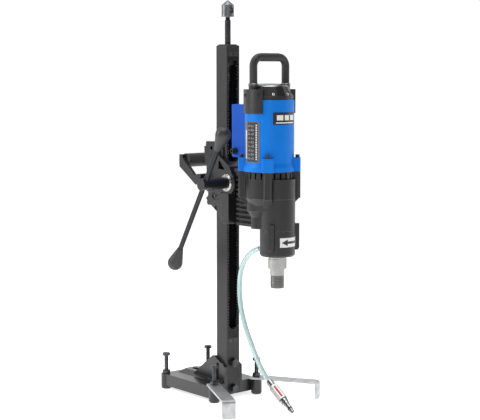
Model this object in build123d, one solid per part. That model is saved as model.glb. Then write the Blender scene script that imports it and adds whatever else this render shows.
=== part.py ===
from build123d import *
import os
from math import acos, asin, atan2, cos, degrees, hypot, pi, radians, sin, sqrt, tan

# Core drill rig. Millimetres. Working frame: the column's axis is the Z axis, the floor is z = 0,
# +X points forward from the column to the drill motor, and the feed crank is on the -Y side.

# column and rack
column_w = 40.0
column_wall = 4.0
column_bottom = 8.0
column_top = 865.0
corner_r = 1.2
end_cone_r = 20.8
end_cone_slope = 30.0
rack_module = 2.25
rack_pitch = pi * rack_module
rack_half_w = 16.5
rack_back_x = 11.5
rack_low = 148.0
rack_high = 836.0
tongue_reach = 11.5
tongue_half_w = 14.5
rack_slot_r = 12.0
rack_slot_low = 170.0
rack_slot_high = 831.0
rack_backlash = 0.15
pressure_angle = radians(20)
notches_below = 50
notches_above = 40

# base
base_low = 8.0
base_top = 38.0
plate_t = 8.0
skirt_t = 7.0
base_rear_x = -170.0
base_half_w = 76.0
foot_front_x = 29.0
foot_rear_x = -163.0
foot_y = 68.0
foot_r = 13.5
cheek_in = 20.05
cheek_out = 28.0
pad_top = 46.0
anchor_x0 = -140.0
anchor_x1 = -56.0
anchor_r = 7.0
column_bolt_z = (22.0, 87.0)
m12_r = 6.0
m12_flats = 19.0

# levelling bolts and stabiliser bars
m10_r = 4.95
m10_hole_r = 5.0
m10_flats = 17.0
bolt_tip_z = 1.0
bolt_head_z = 84.0
bar_w = 32.0
bar_t = 5.0
bar_reach = 160.0
bar_tail = 14.0
bar_low = 38.3
bar_bend_r = 8.0
bar_hole_r = 5.3
left_splay = -27.0
right_splay = 31.0

# jack screw
jack_r = 7.0
jack_bore_r = 7.05
jack_low = 745.0
jack_neck_z = 923.0
jack_head_z = 931.0
jack_head_r = 15.0
jack_cone_z = 959.0
jack_tip_z = 970.5
jack_hole_z = 946.0
jack_hole_r = 7.0
plug_low = 815.0
plug_front_low = 848.0

# carriage, pinion and crank
guide_gap = 0.3
pad_t = 3.0
cavity = column_w / 2 + guide_gap + pad_t
body_half_w = 32.0
plate_half_w = 27.5
block_rear_x = 12.0
block_front_x = 40.0
block_top_z = 508.0
block_half_gap = 11.6
tongue_half = 11.25
carriage_screw_z = (447.0, 487.0)
tongue_screw_x = 33.0
gib_front_x = 4.0
gib_rear_x = -18.0
gib_rise = 8.0
pinion_teeth = 16
pinion_r = rack_module * pinion_teeth / 2
pinion_x = column_w / 2 - rack_module + pinion_r
pinion_z = 534.0
pinion_half_w = 16.0
boss_r = 27.0
pinion_room_r = 21.5
journal_r = 12.0
bush_r = 20.5
bush_in = 20.4
pinion_room_half = 17.0
bush_out = 36.0
hub_r = 14.0
hub_end_y = -114.0
tommy_y = -102.0
lock_screw_y = -90.0
tommy_r = 6.0
tommy_tilt = 30.0
tommy_up = 95.0
tommy_down = 188.0
knob_r = 18.5
knob_mid = 43.5
knob_neck_r = 7.0
knob_hole_deep = 15.0
run_fit = 0.05

# motor bracket
bracket_half_w = 27.0
bracket_rear_x = 64.0
tongue_rear_x = 24.0
fin_count = 10
fin_low_z = 441.0
fin_step = 11.5
fin_gap = 7.0
fin_root = 17.0

# rear handle
grip_x = -112.5
grip_z = 581.0
grip_r = 17.0
grip_pin_x = -119.0
grip_pin_r = 5.0
arm_in = 42.0
arm_out = 52.0
crossbar_rear_x = -58.0
carriage_rear_x = -43.0

# drill motor and gearbox
motor_x = 152.0
spindle_x = 181.0
motor_r = 58.0
shell_t = 3.5
collar_r = 62.0
nose_r = 41.5
ear_bolt_r = 66.0
ear_out = 73.0
housing_ear_w = 28.0
case_ear_w = 19.0
ear_angles = (45, 135, 225, 315)
split_z = 505.0
lobe_top_z = 551.0
deck_top_z = 525.0
vent_low_z = 551.0
case_top_z = 568.0
collar_top_z = 600.0
collar_step_z = 578.0
housing_top_z = 735.0
cap_low_z = 738.0
cap_high_z = 765.0
cover_r = 61.5
deck_low_z = 483.0
deck_low_r = 46.0
lower_z = 475.0
lay_block_z = 460.0
lay_block_low_z = 433.0
lay_wall_r = 26.0
lay_block_r = 17.0
nose_low_z = 370.0
rib_angles = (-60, 60, 180)
rib_top_z = 446.0
box_x0 = 47.7
box_half_w = 30.0
box_low_z = 596.0
box_high_z = 722.5
handle_leg_y = 50.0
handle_r = 9.2
handle_top_z = 842.0
handle_bend_r = 21.0
handle_foot_z = 766.0

# gear train: rotor pinion, layshaft and output gear
module_1 = 1.25
rotor_teeth = 12
lay_gear_teeth = 33
module_2 = 1.5
lay_pinion_teeth = 15
output_teeth = 47
addendum = 0.8
dedendum = 1.05
gear_backlash = 0.2
centre_1 = module_1 * (rotor_teeth + lay_gear_teeth) / 2
centre_2 = module_2 * (lay_pinion_teeth + output_teeth) / 2
axis_gap = spindle_x - motor_x
lay_dx = (centre_1 ** 2 - centre_2 ** 2 + axis_gap ** 2) / (2 * axis_gap)
lay_x = motor_x + lay_dx
lay_y = -sqrt(centre_1 ** 2 - lay_dx ** 2)
stage_1_z = (481.0, 499.0)
stage_2_z = (450.0, 470.0)

# spindle
spindle_tip_z = 294.0
thread_top_z = 324.0
thread_r = 15.875
spindle_neck_r = 17.0
wrench_low_z = 340.0
wrench_high_z = 363.0
wrench_r = 22.0
wrench_flats = 36.0
seal_seat_r = 20.0
spindle_r = 15.0
spindle_top_r = 7.5

# water hose: route as x, y, z
hose_r = 6.0
bend_share = 0.45
hose_route = [
    (118.0, 0.0, 380.0), (84.4, 0.0, 370.4), (50.0, 0.0, 328.0), (43.0, 0.0, 283.0), (46.0, 0.0, 240.0),
    (63.8, -3.2, 193.0), (109.8, -14.3, 138.6), (162.7, -29.8, 91.0), (188.0, -29.8, 73.3),
]

# export frame: middle of the rig's plan outline without the hose
left_reach = foot_y + bar_reach * sin(radians(-left_splay)) + bar_w / 2 * cos(radians(left_splay))
right_reach = foot_y + bar_reach * sin(radians(right_splay)) + bar_w / 2 * cos(radians(right_splay))
mid_x = (foot_rear_x - foot_r + spindle_x + nose_r) / 2
mid_y = (right_reach - left_reach) / 2


def block(x0, x1, y0, y1, z0, z1):
    return Pos((x0 + x1) / 2, (y0 + y1) / 2, (z0 + z1) / 2) * Box(x1 - x0, y1 - y0, z1 - z0)


def rod_z(x, y, z0, z1, r):
    return Pos(x, y, (z0 + z1) / 2) * Cylinder(r, z1 - z0)


def rod_y(x, z, y0, y1, r):
    return Pos(x, (y0 + y1) / 2, z) * Rot(90, 0, 0) * Cylinder(r, y1 - y0)


def rod_x(y, z, x0, x1, r):
    return Pos((x0 + x1) / 2, y, z) * Rot(0, 90, 0) * Cylinder(r, x1 - x0)


def cone_z(x, y, z0, z1, r0, r1):
    return Pos(x, y, (z0 + z1) / 2) * Cone(r0, r1, z1 - z0)


def lift(outline, height):
    return extrude(outline, height, dir=(0, 0, 1))


def plate_y(points, y0, y1):
    return Rot(90, 0, 0) * Pos(0, 0, -y1) * lift(Polygon(*points, align=None), y1 - y0)


def plate_z(points, z0, z1):
    return Pos(0, 0, z0) * lift(Polygon(*points, align=None), z1 - z0)


def hexagon(flats, height):
    return lift(RegularPolygon(flats / 2, 6, major_radius=False), height)


def square_tube(width, z0, z1, r):
    return Pos(0, 0, z0) * lift(RectangleRounded(width, width, r), z1 - z0)


def polar(x, y, r, angle):
    return (x + r * cos(radians(angle)), y + r * sin(radians(angle)))


def ring_z(x, y, z0, z1, r_out, r_in):
    return rod_z(x, y, z0, z1, r_out) - rod_z(x, y, z0 - 1, z1 + 1, r_in)


def sector(x, y, r, angle, half):
    return [(x, y), polar(x, y, r, angle - half), polar(x, y, r, angle), polar(x, y, r, angle + half)]


def curved_plate(angle, half, z0, z1, r_in, r_out):
    wedge = plate_z(sector(motor_x, 0, 2 * r_out, angle, half), z0, z1)
    return ring_z(motor_x, 0, z0, z1, r_out, r_in) & wedge


# one spur gear outline: stub involute teeth, the first tooth on the local +X axis
def gear_outline(teeth, module, backlash):
    pitch = module * teeth / 2
    base = pitch * cos(pressure_angle)
    tip = pitch + addendum * module
    root = pitch - dedendum * module
    half = pi / (2 * teeth) - backlash / (2 * pitch) + tan(pressure_angle) - pressure_angle
    start = max(base, root)
    flank = []
    for k in range(5):
        r = start + (tip - start) * k / 4
        a = acos(min(1, base / r))
        flank.append((r, half - (tan(a) - a)))
    if root < base:
        flank.insert(0, (root, half))
    points = []
    for n in range(teeth):
        turn = 2 * pi * n / teeth
        points += [(r * cos(turn - a), r * sin(turn - a)) for r, a in flank]
        points += [(r * cos(turn + a), r * sin(turn + a)) for r, a in reversed(flank)]
    return Polygon(*points, align=None)


def gear(x, y, z0, z1, teeth, module, turn, backlash=gear_backlash):
    return Pos(x, y, z0) * Rot(0, 0, turn) * lift(gear_outline(teeth, module, backlash), z1 - z0)


def cap_screw(head_r, head_h, shank_r, shank_len, socket):
    head = rod_z(0, 0, 0, head_h, head_r) - Pos(0, 0, head_h / 2) * hexagon(socket, head_h)
    return head + rod_z(0, 0, -shank_len, 0, shank_r)


# the column's end is turned: its corners slope down from a circle on the end face
def end_cone():
    wide = column_w / sqrt(2) + 1
    low = column_top - (wide - end_cone_r) * tan(radians(end_cone_slope))
    return rod_z(0, 0, 0, low, wide) + cone_z(0, 0, low, column_top, wide, end_cone_r)


# stand -----------------------------------------------------------------------------------------

def column():
    tube = square_tube(column_w, column_bottom, column_top, corner_r)
    tube -= square_tube(column_w - 2 * column_wall, 0, column_top + 1, 1)
    tube &= end_cone()
    w = rack_half_w + 0.02
    tube -= block(rack_back_x - 0.02, column_w, -w, w, rack_low, rack_high)
    for z in column_bolt_z:
        tube -= rod_x(0, z, -column_w, column_w, m12_r)
    for y, z in rack_screw_spots():
        tube -= rod_x(y, z, 0, column_w, 2.5)
        tube -= Pos(column_w / 2, y, z) * Rot(0, 90, 0) * Pos(0, 0, -1.5) * Cone(2.5, 4.5, 3)
    return tube


def rack_screw_spots():
    return [(y, z) for y in (-8, 8) for z in (rack_low - 6, rack_high + 6)]


def rack():
    face = column_w / 2
    root = face - 2.25 * rack_module
    half_face = rack_pitch / 4 + rack_backlash / 2 + rack_module * tan(pressure_angle)
    half_root = half_face - 2.25 * rack_module * tan(pressure_angle)
    edge = [(rack_back_x, rack_low), (face, rack_low)]
    for k in range(-notches_below, notches_above + 1):
        z = pinion_z + k * rack_pitch
        edge += [(face, z - half_face), (root, z - half_root), (root, z + half_root), (face, z + half_face)]
    edge += [(face, rack_high), (rack_back_x, rack_high)]
    bar = plate_y(edge, -rack_half_w, rack_half_w)
    inner_face = face - column_wall
    for z0, z1 in ((rack_low - tongue_reach, rack_low), (rack_high, rack_high + tongue_reach)):
        bar += block(rack_back_x, inner_face, -tongue_half_w, tongue_half_w, z0, z1)
    slot_z = (rack_slot_low + rack_slot_high) / 2
    slot = lift(SlotOverall(rack_slot_high - rack_slot_low, 2 * rack_slot_r), column_w)
    bar -= Pos(0, 0, slot_z) * Rot(0, 90, 0) * slot
    for y, z in rack_screw_spots():
        bar -= rod_x(y, z, 0, column_w, 2.5)
    return bar


def rack_screws():
    screw = rod_x(0, 0, rack_back_x, column_w / 2 - 3, 2.5)
    screw += Pos(column_w / 2 - 1.5, 0, 0) * Rot(0, 90, 0) * Cone(2.5, 4.5, 3)
    screw -= Pos(column_w / 2 - 1.5, 0, 0) * Rot(0, 90, 0) * hexagon(3, 4)
    return Compound([Pos(0, y, z) * screw for y, z in rack_screw_spots()])


def top_plug():
    plug = square_tube(column_w - 2 * column_wall, plug_low, column_top, 1)
    plug -= block(rack_back_x - 0.5, column_w, -column_w, column_w, 0, plug_front_low)
    plug -= rod_z(0, 0, 0, column_top + 1, jack_bore_r)
    return plug & end_cone()


def base():
    rear, front = base_rear_x, column_w / 2
    casting = block(rear, front, -base_half_w, base_half_w, base_low, base_top)
    casting -= block(rear + skirt_t, front - skirt_t, skirt_t - base_half_w, base_half_w - skirt_t,
                     0, base_top - plate_t)
    pad_low = Pos(-100, 0, base_top - 0.5) * RectangleRounded(120, 80, 8)
    pad_high = Pos(-100, 0, pad_top) * RectangleRounded(100, 38, 6)
    casting += loft([pad_low, pad_high])
    cheek = [(20, 8), (20, 78), (-20, 101), (-27, 101), (-112, 36), (-112, 30), (-24, 30), (-24, 8)]
    for side in (-1, 1):
        y0, y1 = sorted((side * cheek_in, side * cheek_out))
        casting += plate_y(cheek, y0, y1)
        recess = lift(RectangleRounded(24, 46, 6), 10)
        depth_y = side * (cheek_out - 4)
        turn = 90 if side < 0 else -90
        casting -= Pos(0, depth_y, 63) * Rot(turn, 0, 0) * recess
    casting += block(-30, -cheek_in, -cheek_out, cheek_out, base_low, 95)
    ring = lift(SlotOverall(anchor_x1 - anchor_x0 + 16, 2 * anchor_r + 16), base_top - base_low)
    anchor_mid = (anchor_x0 + anchor_x1) / 2
    casting += Pos(anchor_mid, 0, base_low) * ring
    for x, y in feet():
        casting += rod_z(x, y, 3, base_top, foot_r) + cone_z(x, y, 0, 3, foot_r - 2, foot_r)
        casting -= rod_z(x, y, -1, base_top + 1, m10_hole_r)
    casting -= block(-cheek_in, column_w, -cheek_in, cheek_in, -1, 200)
    slot = lift(SlotOverall(anchor_x1 - anchor_x0, 2 * anchor_r), 100)
    casting -= Pos(anchor_mid, 0, 0) * slot
    for z in column_bolt_z:
        casting -= rod_x(0, z, -40, 0, m12_r)
    casting -= rod_x(0, column_bolt_z[0], -46, -30, 12.5)
    return casting


def feet():
    return [(x, y) for x in (foot_front_x, foot_rear_x) for y in (-foot_y, foot_y)]


def column_bolts():
    face = column_w / 2 + 2.5
    head = Pos(face, 0, 0) * Rot(0, 90, 0) * hexagon(m12_flats, 7.5)
    nut = Pos(-40, 0, 0) * Rot(0, 90, 0) * hexagon(m12_flats, 10)
    bolt = head + nut + rod_x(0, 0, -44, face, m12_r)
    return Compound([Pos(0, 0, z) * bolt for z in column_bolt_z])


def column_washers():
    face = column_w / 2
    washer = rod_x(0, 0, face, face + 2.5, 12) - rod_x(0, 0, face - 1, face + 4, m12_r)
    return Compound([Pos(0, 0, z) * washer for z in column_bolt_z])


def foot_lock_nuts():
    nuts = []
    for x, y in feet():
        low = bar_low + bar_t + 0.3 if x > 0 else base_top
        nut = Pos(x, y, low) * (hexagon(m10_flats, 8.4) - rod_z(0, 0, -1, 10, m10_hole_r))
        nuts.append(nut)
    return Compound(nuts)


def levelling_bolt(x, y):
    shank = rod_z(x, y, bolt_tip_z + 2, bolt_head_z, m10_r)
    shank += cone_z(x, y, bolt_tip_z, bolt_tip_z + 2, m10_r - 1.5, m10_r)
    head = Pos(x, y, bolt_head_z) * hexagon(m10_flats, 7)
    return shank + (head & cone_z(x, y, bolt_head_z - 8, bolt_head_z + 7, 14, 8.6))


def stabiliser_bar(x, y, splay):
    top = bar_low + bar_t
    outline = Polygon((-bar_tail, bar_low), (-bar_tail, top), (bar_reach, top), (bar_reach, 0),
                      (bar_reach - bar_t, 0), (bar_reach - bar_t, bar_low), align=None)
    outer = outline.vertices().sort_by_distance((bar_reach, top))[0]
    outline = fillet(outer, bar_bend_r)
    inner = outline.vertices().sort_by_distance((bar_reach - bar_t, bar_low))[0]
    outline = fillet(inner, bar_bend_r - bar_t)
    bar = Rot(90, 0, 0) * Pos(0, 0, -bar_w / 2) * lift(outline, bar_w)
    bar -= rod_z(0, 0, 0, top + 1, bar_hole_r)
    return Pos(x, y, 0) * Rot(0, 0, splay) * bar


def jack_screw():
    screw = rod_z(0, 0, jack_low, jack_neck_z, jack_r)
    screw += rod_z(0, 0, jack_neck_z, jack_head_z, jack_r - 1.5)
    screw += rod_z(0, 0, jack_head_z, jack_cone_z, jack_head_r)
    screw += cone_z(0, 0, jack_cone_z, jack_tip_z, jack_head_r, 1.2)
    return screw - rod_x(0, jack_hole_z, -20, 20, jack_hole_r)


# carriage --------------------------------------------------------------------------------------

def carriage_body():
    side = [(-44, 631), (-46, 624), (-44.5, 620), (-52, 618.6), (-51, 595), (-44, 575), (-43, 560),
            (-43, 498), (-52.3, 489.4), (-46.5, 486), (-48, 480), (-44, 474.5), (-32, 475),
            (-2.5, 456), (3.6, 441.5), (18.5, 434.3), (40, 434), (40, 512), (53, 555), (42, 573),
            (12, 592), (-4, 605), (-8, 631)]
    body = plate_y(side, -body_half_w, body_half_w)
    body += rod_y(pinion_x, pinion_z, -body_half_w, body_half_w, boss_r)
    body -= block(-cavity, cavity, -cavity, cavity, 400, 700)
    body -= rod_y(pinion_x, pinion_z, -pinion_room_half, pinion_room_half, pinion_room_r)
    body -= block(0, block_front_x + 1, -block_half_gap, block_half_gap, 400, block_top_z)
    body -= plate_y([(0, 554), (46, 554), (39, 566), (0, 586)], -13.9, 13.9)
    body -= rod_y(pinion_x, pinion_z, -40, 40, bush_r)
    window = [(2, 585), (8, 585), (27, 564), (2, 566)]
    body -= plate_y(window, -40, 40)
    body -= rod_y(-24, 615, -40, 40, 5)
    for face in (-1, 1):
        y0, y1 = sorted((face * plate_half_w, face * 40))
        body -= block(-60, block_rear_x, y0, y1, 400, block_top_z)
        body -= block(block_rear_x - 1, 60, y0, y1, block_top_z, block_top_z + 2.5)
        y0, y1 = sorted((face * (plate_half_w - 2.5), face * 40))
        body -= Pos(-13, 0, 498) * Rot(90, 0, 0) * Pos(0, 0, -y1) * lift(SlotOverall(30, 19), y1 - y0)
        body -= rod_y(-10, 469.5, y0, y1, 7)
        body -= block(9, block_rear_x, y0, y1, 436, block_top_z)
        body -= block(-27, -25, *sorted((face * (body_half_w - 3), face * 40)), 590, 605)
    for y, z in gib_spots():
        body -= rod_y(gib_front_x, z, *sorted((y * cavity, y * 40)), 3)
        body -= rod_y(gib_rear_x, z + gib_rise, *sorted((y * cavity, y * 40)), 3)
    for y, z in handle_screw_spots():
        body -= rod_x(y, z, -60, 0, 4)
    for z in carriage_screw_z:
        body -= rod_y(tongue_screw_x, z, -24, 60, 4)
        body -= rod_y(tongue_screw_x, z, body_half_w - 8, 60, 7)
    return body


def gib_spots():
    return [(side, z) for side in (-1, 1) for z in (475, 490)]


def gib_screws():
    screws = []
    for side, z in gib_spots():
        for x, dz in ((gib_front_x, 0), (gib_rear_x, gib_rise)):
            y0, y1 = sorted((side * (cavity + 0.05), side * (plate_half_w - 0.5)))
            screws.append(rod_y(x, z + dz, y0, y1, 2.95))
    return Compound(screws)


def guide_pads():
    gap = column_w / 2 + guide_gap
    pads = []
    for z0, z1 in ((478, 520), (580, 618)):
        pads.append(block(-cavity, -gap, -15, 15, z0, z1))
        for side in (-1, 1):
            y0, y1 = sorted((side * gap, side * cavity))
            pads.append(block(-15, 10, y0, y1, z0, z1))
    for z0, z1 in ((440, 500), (558, 574)):
        for side in (-1, 1):
            y0, y1 = sorted((side * 14.2, side * 20))
            pads.append(block(gap, cavity, y0, y1, z0, z1))
    return Compound(pads)


def pinion_bushes():
    rings = []
    for side in (-1, 1):
        y0, y1 = sorted((side * bush_in, side * bush_out))
        ring = rod_y(pinion_x, pinion_z, y0, y1, bush_r)
        ring -= rod_y(pinion_x, pinion_z, y0 - 1, y1 + 1, journal_r + run_fit)
        rings.append(ring)
    return Compound(rings)


def rear_handle_frame():
    frame = block(crossbar_rear_x, carriage_rear_x, -arm_out, arm_out, 528, 551)
    arm = [(-126, 596), (-113, 596), (-113, 586), (-69, 547), (-43, 547), (-43, 528), (-62, 524), (-126, 566)]
    for side in (-1, 1):
        y0, y1 = sorted((side * arm_in, side * arm_out))
        frame += plate_y(arm, y0, y1)
        frame -= rod_y(grip_pin_x, grip_z, *sorted((side * (arm_in - 1), side * (arm_out - 3))), grip_pin_r)
    for y, z in handle_screw_spots():
        frame -= rod_x(y, z, -70, 0, 4)
        frame -= rod_x(y, z, -70, crossbar_rear_x + 5, 7)
    return frame


def handle_screw_spots():
    return [(y, 539.5) for y in (-24, -8, 8, 24)]


# a pin on each end of the grip sits in the arm
def rear_handle_grip():
    pins = rod_y(grip_pin_x, grip_z, 3 - arm_out, arm_out - 3, grip_pin_r)
    return rod_y(grip_x, grip_z, -arm_in, arm_in, grip_r) + pins


def rear_handle_screws():
    screw = Rot(0, -90, 0) * cap_screw(6.5, 6, 4, 28, 6)
    return Compound([Pos(crossbar_rear_x + 5, y, z) * screw for y, z in handle_screw_spots()])


def case_screw_spots():
    return [(y, 515) for y in (-21, -8, 8, 21)]


# a narrow tongue between the carriage's blocks, and a finned body that carries the gearbox
def motor_bracket():
    body = [(bracket_rear_x, 434), (bracket_rear_x, 557), (56, 565), (56, 570), (110, 570), (150, 550),
            (150, 434)]
    bracket = plate_y(body, -bracket_half_w, bracket_half_w)
    bracket += block(tongue_rear_x, bracket_rear_x + 2, -tongue_half, tongue_half, 436, 500)
    bracket -= rod_z(motor_x, 0, split_z, 600, motor_r + 0.02)
    bracket -= rod_z(motor_x, 0, case_top_z - 0.5, 600, collar_r + 0.3)
    bracket -= gear_nose_outer(0.02)
    for k in range(fin_count):
        z = fin_low_z + fin_step * k
        for face in (-1, 1):
            y0, y1 = sorted((face * fin_root, face * 30))
            bracket -= block(50, 150, y0, y1, z, z + fin_gap)
    for z in carriage_screw_z:
        bracket -= rod_y(tongue_screw_x, z, -20, 20, 4)
    for y, z in case_screw_spots():
        bracket -= rod_x(y, z, 80, 130, 4)
        bracket -= rod_x(y, z, 55, 84, 7)
    return bracket


def bracket_screws():
    across = Rot(-90, 0, 0) * cap_screw(6.5, 8, 4, body_half_w + 16, 6)
    front = Rot(0, -90, 0) * cap_screw(6.5, 8, 4, 28, 6)
    screws = [Pos(tongue_screw_x, body_half_w - 8, z) * across for z in carriage_screw_z]
    screws += [Pos(84, y, z) * front for y, z in case_screw_spots()]
    return Compound(screws)


# gearbox ---------------------------------------------------------------------------------------

def ear(z0, z1, angle, width):
    half = width / 2
    outline = [(48, -half), (ear_out - 3, -half), (ear_out, 3 - half), (ear_out, half - 3),
               (ear_out - 3, half), (48, half)]
    return Pos(motor_x, 0, 0) * Rot(0, 0, angle) * plate_z(outline, z0, z1)


def gearbox_case():
    case = rod_z(motor_x, 0, split_z, case_top_z, motor_r)
    case += rod_z(spindle_x, 0, split_z, lobe_top_z, nose_r)
    for angle in ear_angles:
        case += ear(split_z, case_top_z, angle, case_ear_w)
    case += rod_z(spindle_x, 0, 478, split_z, 20.5)
    case -= rod_z(motor_x, 0, deck_top_z, case_top_z + 1, motor_r - shell_t)
    for angle in range(0, 360, 15):
        near_ear = min(abs(angle - a) for a in ear_angles) < 14
        if not near_ear:
            slot = block(40, 70, -2.5, 2.5, vent_low_z, case_top_z - 2)
            case -= Pos(motor_x, 0, 0) * Rot(0, 0, angle) * slot
    case -= rod_z(motor_x, 0, 0, 600, 8)
    case -= rod_z(motor_x, 0, 513, 600, 16)
    case -= rod_z(lay_x, lay_y, 0, 513, 9.5)
    case -= rod_z(spindle_x, 0, 0, 493, 17.5)
    for angle in ear_angles:
        x, y = polar(motor_x, 0, ear_bolt_r, angle)
        case -= rod_z(x, y, 530, 600, 3)
    for y, z in case_screw_spots():
        case -= rod_x(y, z, 80, 112.5, 4)
    return case


def gear_nose_outer(extra=0.0):
    lay = lay_wall_r + extra
    nose = nose_r + extra
    dx, dy = spindle_x - lay_x, -lay_y
    lean = degrees(acos((nose - lay) / hypot(dx, dy)))
    heading = degrees(atan2(dy, dx))
    side_1, side_2 = heading + 180 - lean, heading + 180 + lean
    web = [polar(lay_x, lay_y, lay, side_1), polar(lay_x, lay_y, lay, side_2),
           polar(spindle_x, 0, nose, side_2), polar(spindle_x, 0, nose, side_1)]
    low_web = [polar(lay_x, lay_y, lay_block_r, heading - 90), polar(lay_x, lay_y, lay_block_r, heading + 90),
               (spindle_x, 12), (spindle_x, -25)]
    shape = rod_z(spindle_x, 0, nose_low_z + 4, split_z, nose)
    shape += cone_z(spindle_x, 0, nose_low_z, nose_low_z + 4, nose - 3, nose)
    shape += cone_z(motor_x, 0, deck_low_z, split_z, deck_low_r + extra, motor_r + extra)
    shape += rod_z(lay_x, lay_y, lower_z, split_z, lay) + plate_z(web, lower_z, split_z)
    shape += cone_z(lay_x, lay_y, lay_block_z, lower_z, lay_block_r + extra, lay)
    shape += rod_z(lay_x, lay_y, lay_block_low_z, lay_block_z, lay_block_r + extra)
    shape += plate_z(low_web, lay_block_low_z, lower_z)
    for angle in ear_angles:
        shape += ear_foot(angle, case_ear_w / 2 + extra)
    for angle in rib_angles:
        rib = block(30, 51 + extra, -7 - extra, 7 + extra, rib_low(angle), rib_top_z)
        shape += Pos(spindle_x, 0, 0) * Rot(0, 0, angle) * rib
    return shape


# the sloping underside of an ear, pointed like a keel
def ear_foot(angle, half):
    tip = ear_out - 3
    keel = plate_y([(40, split_z), (tip, split_z), (46, deck_low_z - 4), (40, deck_low_z - 4)], -half, half)
    return Pos(motor_x, 0, 0) * Rot(0, 0, angle) * keel


# the rear rib starts higher, clear of the water inlet
def rib_low(angle):
    return 402 if angle == 180 else 388


def gear_nose():
    nose = gear_nose_outer()
    nose -= ring_z(spindle_x, 0, 429, 430.5, nose_r + 1, nose_r - 0.8)
    nose -= rod_z(spindle_x, 0, 412, split_z + 1, 37.6)
    nose -= rod_z(spindle_x, 0, 0, 412, 24)
    nose -= rod_z(spindle_x, 0, 0, 400, 31)
    nose -= rod_z(lay_x, lay_y, 476, split_z + 1, 22.9)
    nose -= rod_z(lay_x, lay_y, 446, 476, 13.3)
    nose -= rod_z(lay_x, lay_y, 437, 446, 9.5)
    nose -= rod_z(motor_x, 0, 478, split_z + 1, 9)
    for angle in rib_angles:
        x, y = polar(spindle_x, 0, 46.5, angle)
        nose -= rod_z(x, y, 370, 430, 2.5)
    nose -= fitting_axis() * turned(0, 45, 5)
    return nose


def nose_screws():
    screws = []
    for angle in rib_angles:
        x, y = polar(spindle_x, 0, 46.5, angle)
        screws.append(Pos(x, y, rib_low(angle)) * Rot(180, 0, 0) * cap_screw(4.3, 4.5, 2.5, 25, 4))
    return Compound(screws)


def motor_housing():
    housing = rod_z(motor_x, 0, case_top_z, housing_top_z, motor_r)
    housing += rod_z(motor_x, 0, case_top_z, collar_step_z, collar_r)
    housing += cone_z(motor_x, 0, collar_step_z, collar_step_z + 10, collar_r, motor_r)
    for angle in ear_angles:
        housing += ear(case_top_z, collar_top_z, angle, housing_ear_w)
    housing -= rod_z(motor_x, 0, case_top_z - 1, housing_top_z + 1, motor_r - shell_t)
    for angle in ear_angles:
        x, y = polar(motor_x, 0, ear_bolt_r, angle)
        housing -= rod_z(x, y, 500, 610, 3)
    for side in (-1, 1):
        housing -= rod_y(motor_x, 711, *sorted((side * 40, side * 62)), 7)
    return housing


def housing_screws():
    screws = []
    for angle in ear_angles:
        x, y = polar(motor_x, 0, ear_bolt_r, angle)
        screws.append(Pos(x, y, collar_top_z) * cap_screw(5, 7, 3, 66, 5))
    screws += [place * cap_screw(3.5, 2.2, 1.6, 7, 2.5) for place in cover_screw_places()]
    return Compound(screws)


def cover_screw_places():
    places = []
    for angle in (-110, -70, 70, 110):
        x, y = polar(motor_x, 0, cover_r, angle)
        places.append(Pos(x, y, 745) * Rot(0, 0, angle) * Rot(0, 90, 0))
    return places


def switch_box():
    outline = [(box_x0, -box_half_w), (box_x0, box_half_w), (118, box_half_w), (118, -box_half_w)]
    box = plate_z(outline, box_low_z, box_high_z)
    box = fillet(box.edges().filter_by(Axis.Z).group_by(Axis.X)[0], 5)
    box = fillet(box.faces().sort_by(Axis.X)[0].edges().group_by(Axis.Z)[0], 4.9)
    box -= block(box_x0 + 3, 93, 3 - box_half_w, box_half_w - 3, box_low_z + 3, box_high_z - 3)
    box -= rod_z(motor_x, 0, 500, 800, motor_r)
    for angle in ear_angles:
        box -= ear(case_top_z, collar_top_z, angle, housing_ear_w + 1)
        x, y = polar(motor_x, 0, ear_bolt_r, angle)
        box -= rod_z(x, y, 500, 800, 6.5)
    box -= rod_y(64, 612, -40, 0, 6)
    return box


def cable_gland():
    gland = rod_y(64, 612, -box_half_w - 5, -box_half_w, 8)
    gland += rod_y(64, 612, -box_half_w, -20, 6)
    gland += rod_y(64, 612, -box_half_w - 12, -box_half_w - 5, 6)
    return gland - rod_y(64, 612, -60, 0, 3.6)


def top_cap():
    cap = rod_z(motor_x, 0, cap_low_z, cap_low_z + 5, 56)
    cap += rod_z(motor_x, 0, 729, cap_low_z, motor_r - shell_t)
    lower = Pos(motor_x, 0, cap_low_z + 5) * RegularPolygon(55.8, 16)
    upper = Pos(motor_x, 0, cap_high_z) * RegularPolygon(45, 16)
    cap += loft([lower, upper])
    for side in (-1, 1):
        cap += curved_plate(90 * side, 33, cap_low_z, 759, 40, motor_r)
        cap += rod_z(motor_x, side * handle_leg_y, 752, handle_foot_z, 11)
    cap -= rod_z(motor_x, 0, 720, 752, 13)
    cap -= rod_z(motor_x, 0, 720, 739, 40)
    for side in (-1, 1):
        cap -= curved_cover(side)
    for place in cover_screw_places():
        cap -= place * Cylinder(1.6, 16)
    return cap


def curved_cover(side):
    return curved_plate(90 * side, 33, 703, 759, motor_r, cover_r)


def brush_covers():
    covers = []
    for side in (-1, 1):
        cover = curved_cover(side)
        for place in cover_screw_places():
            cover -= place * Cylinder(1.6, 16)
        covers.append(cover)
    return Compound(covers)


def carry_handle():
    z_mid = handle_top_z - handle_r
    y = handle_leg_y
    path = FilletPolyline(
        (motor_x, -y, handle_foot_z), (motor_x, -y, z_mid), (motor_x, y, z_mid), (motor_x, y, handle_foot_z),
        radius=handle_bend_r)
    return sweep(Pos(motor_x, -y, handle_foot_z) * Circle(handle_r), path=path)


def front_plate():
    return curved_plate(0, 33.5, 678, 706, motor_r, motor_r + 0.8)


def rating_plate():
    return curved_plate(-90, 26, 590, 685, motor_r, motor_r + 0.6)


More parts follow.
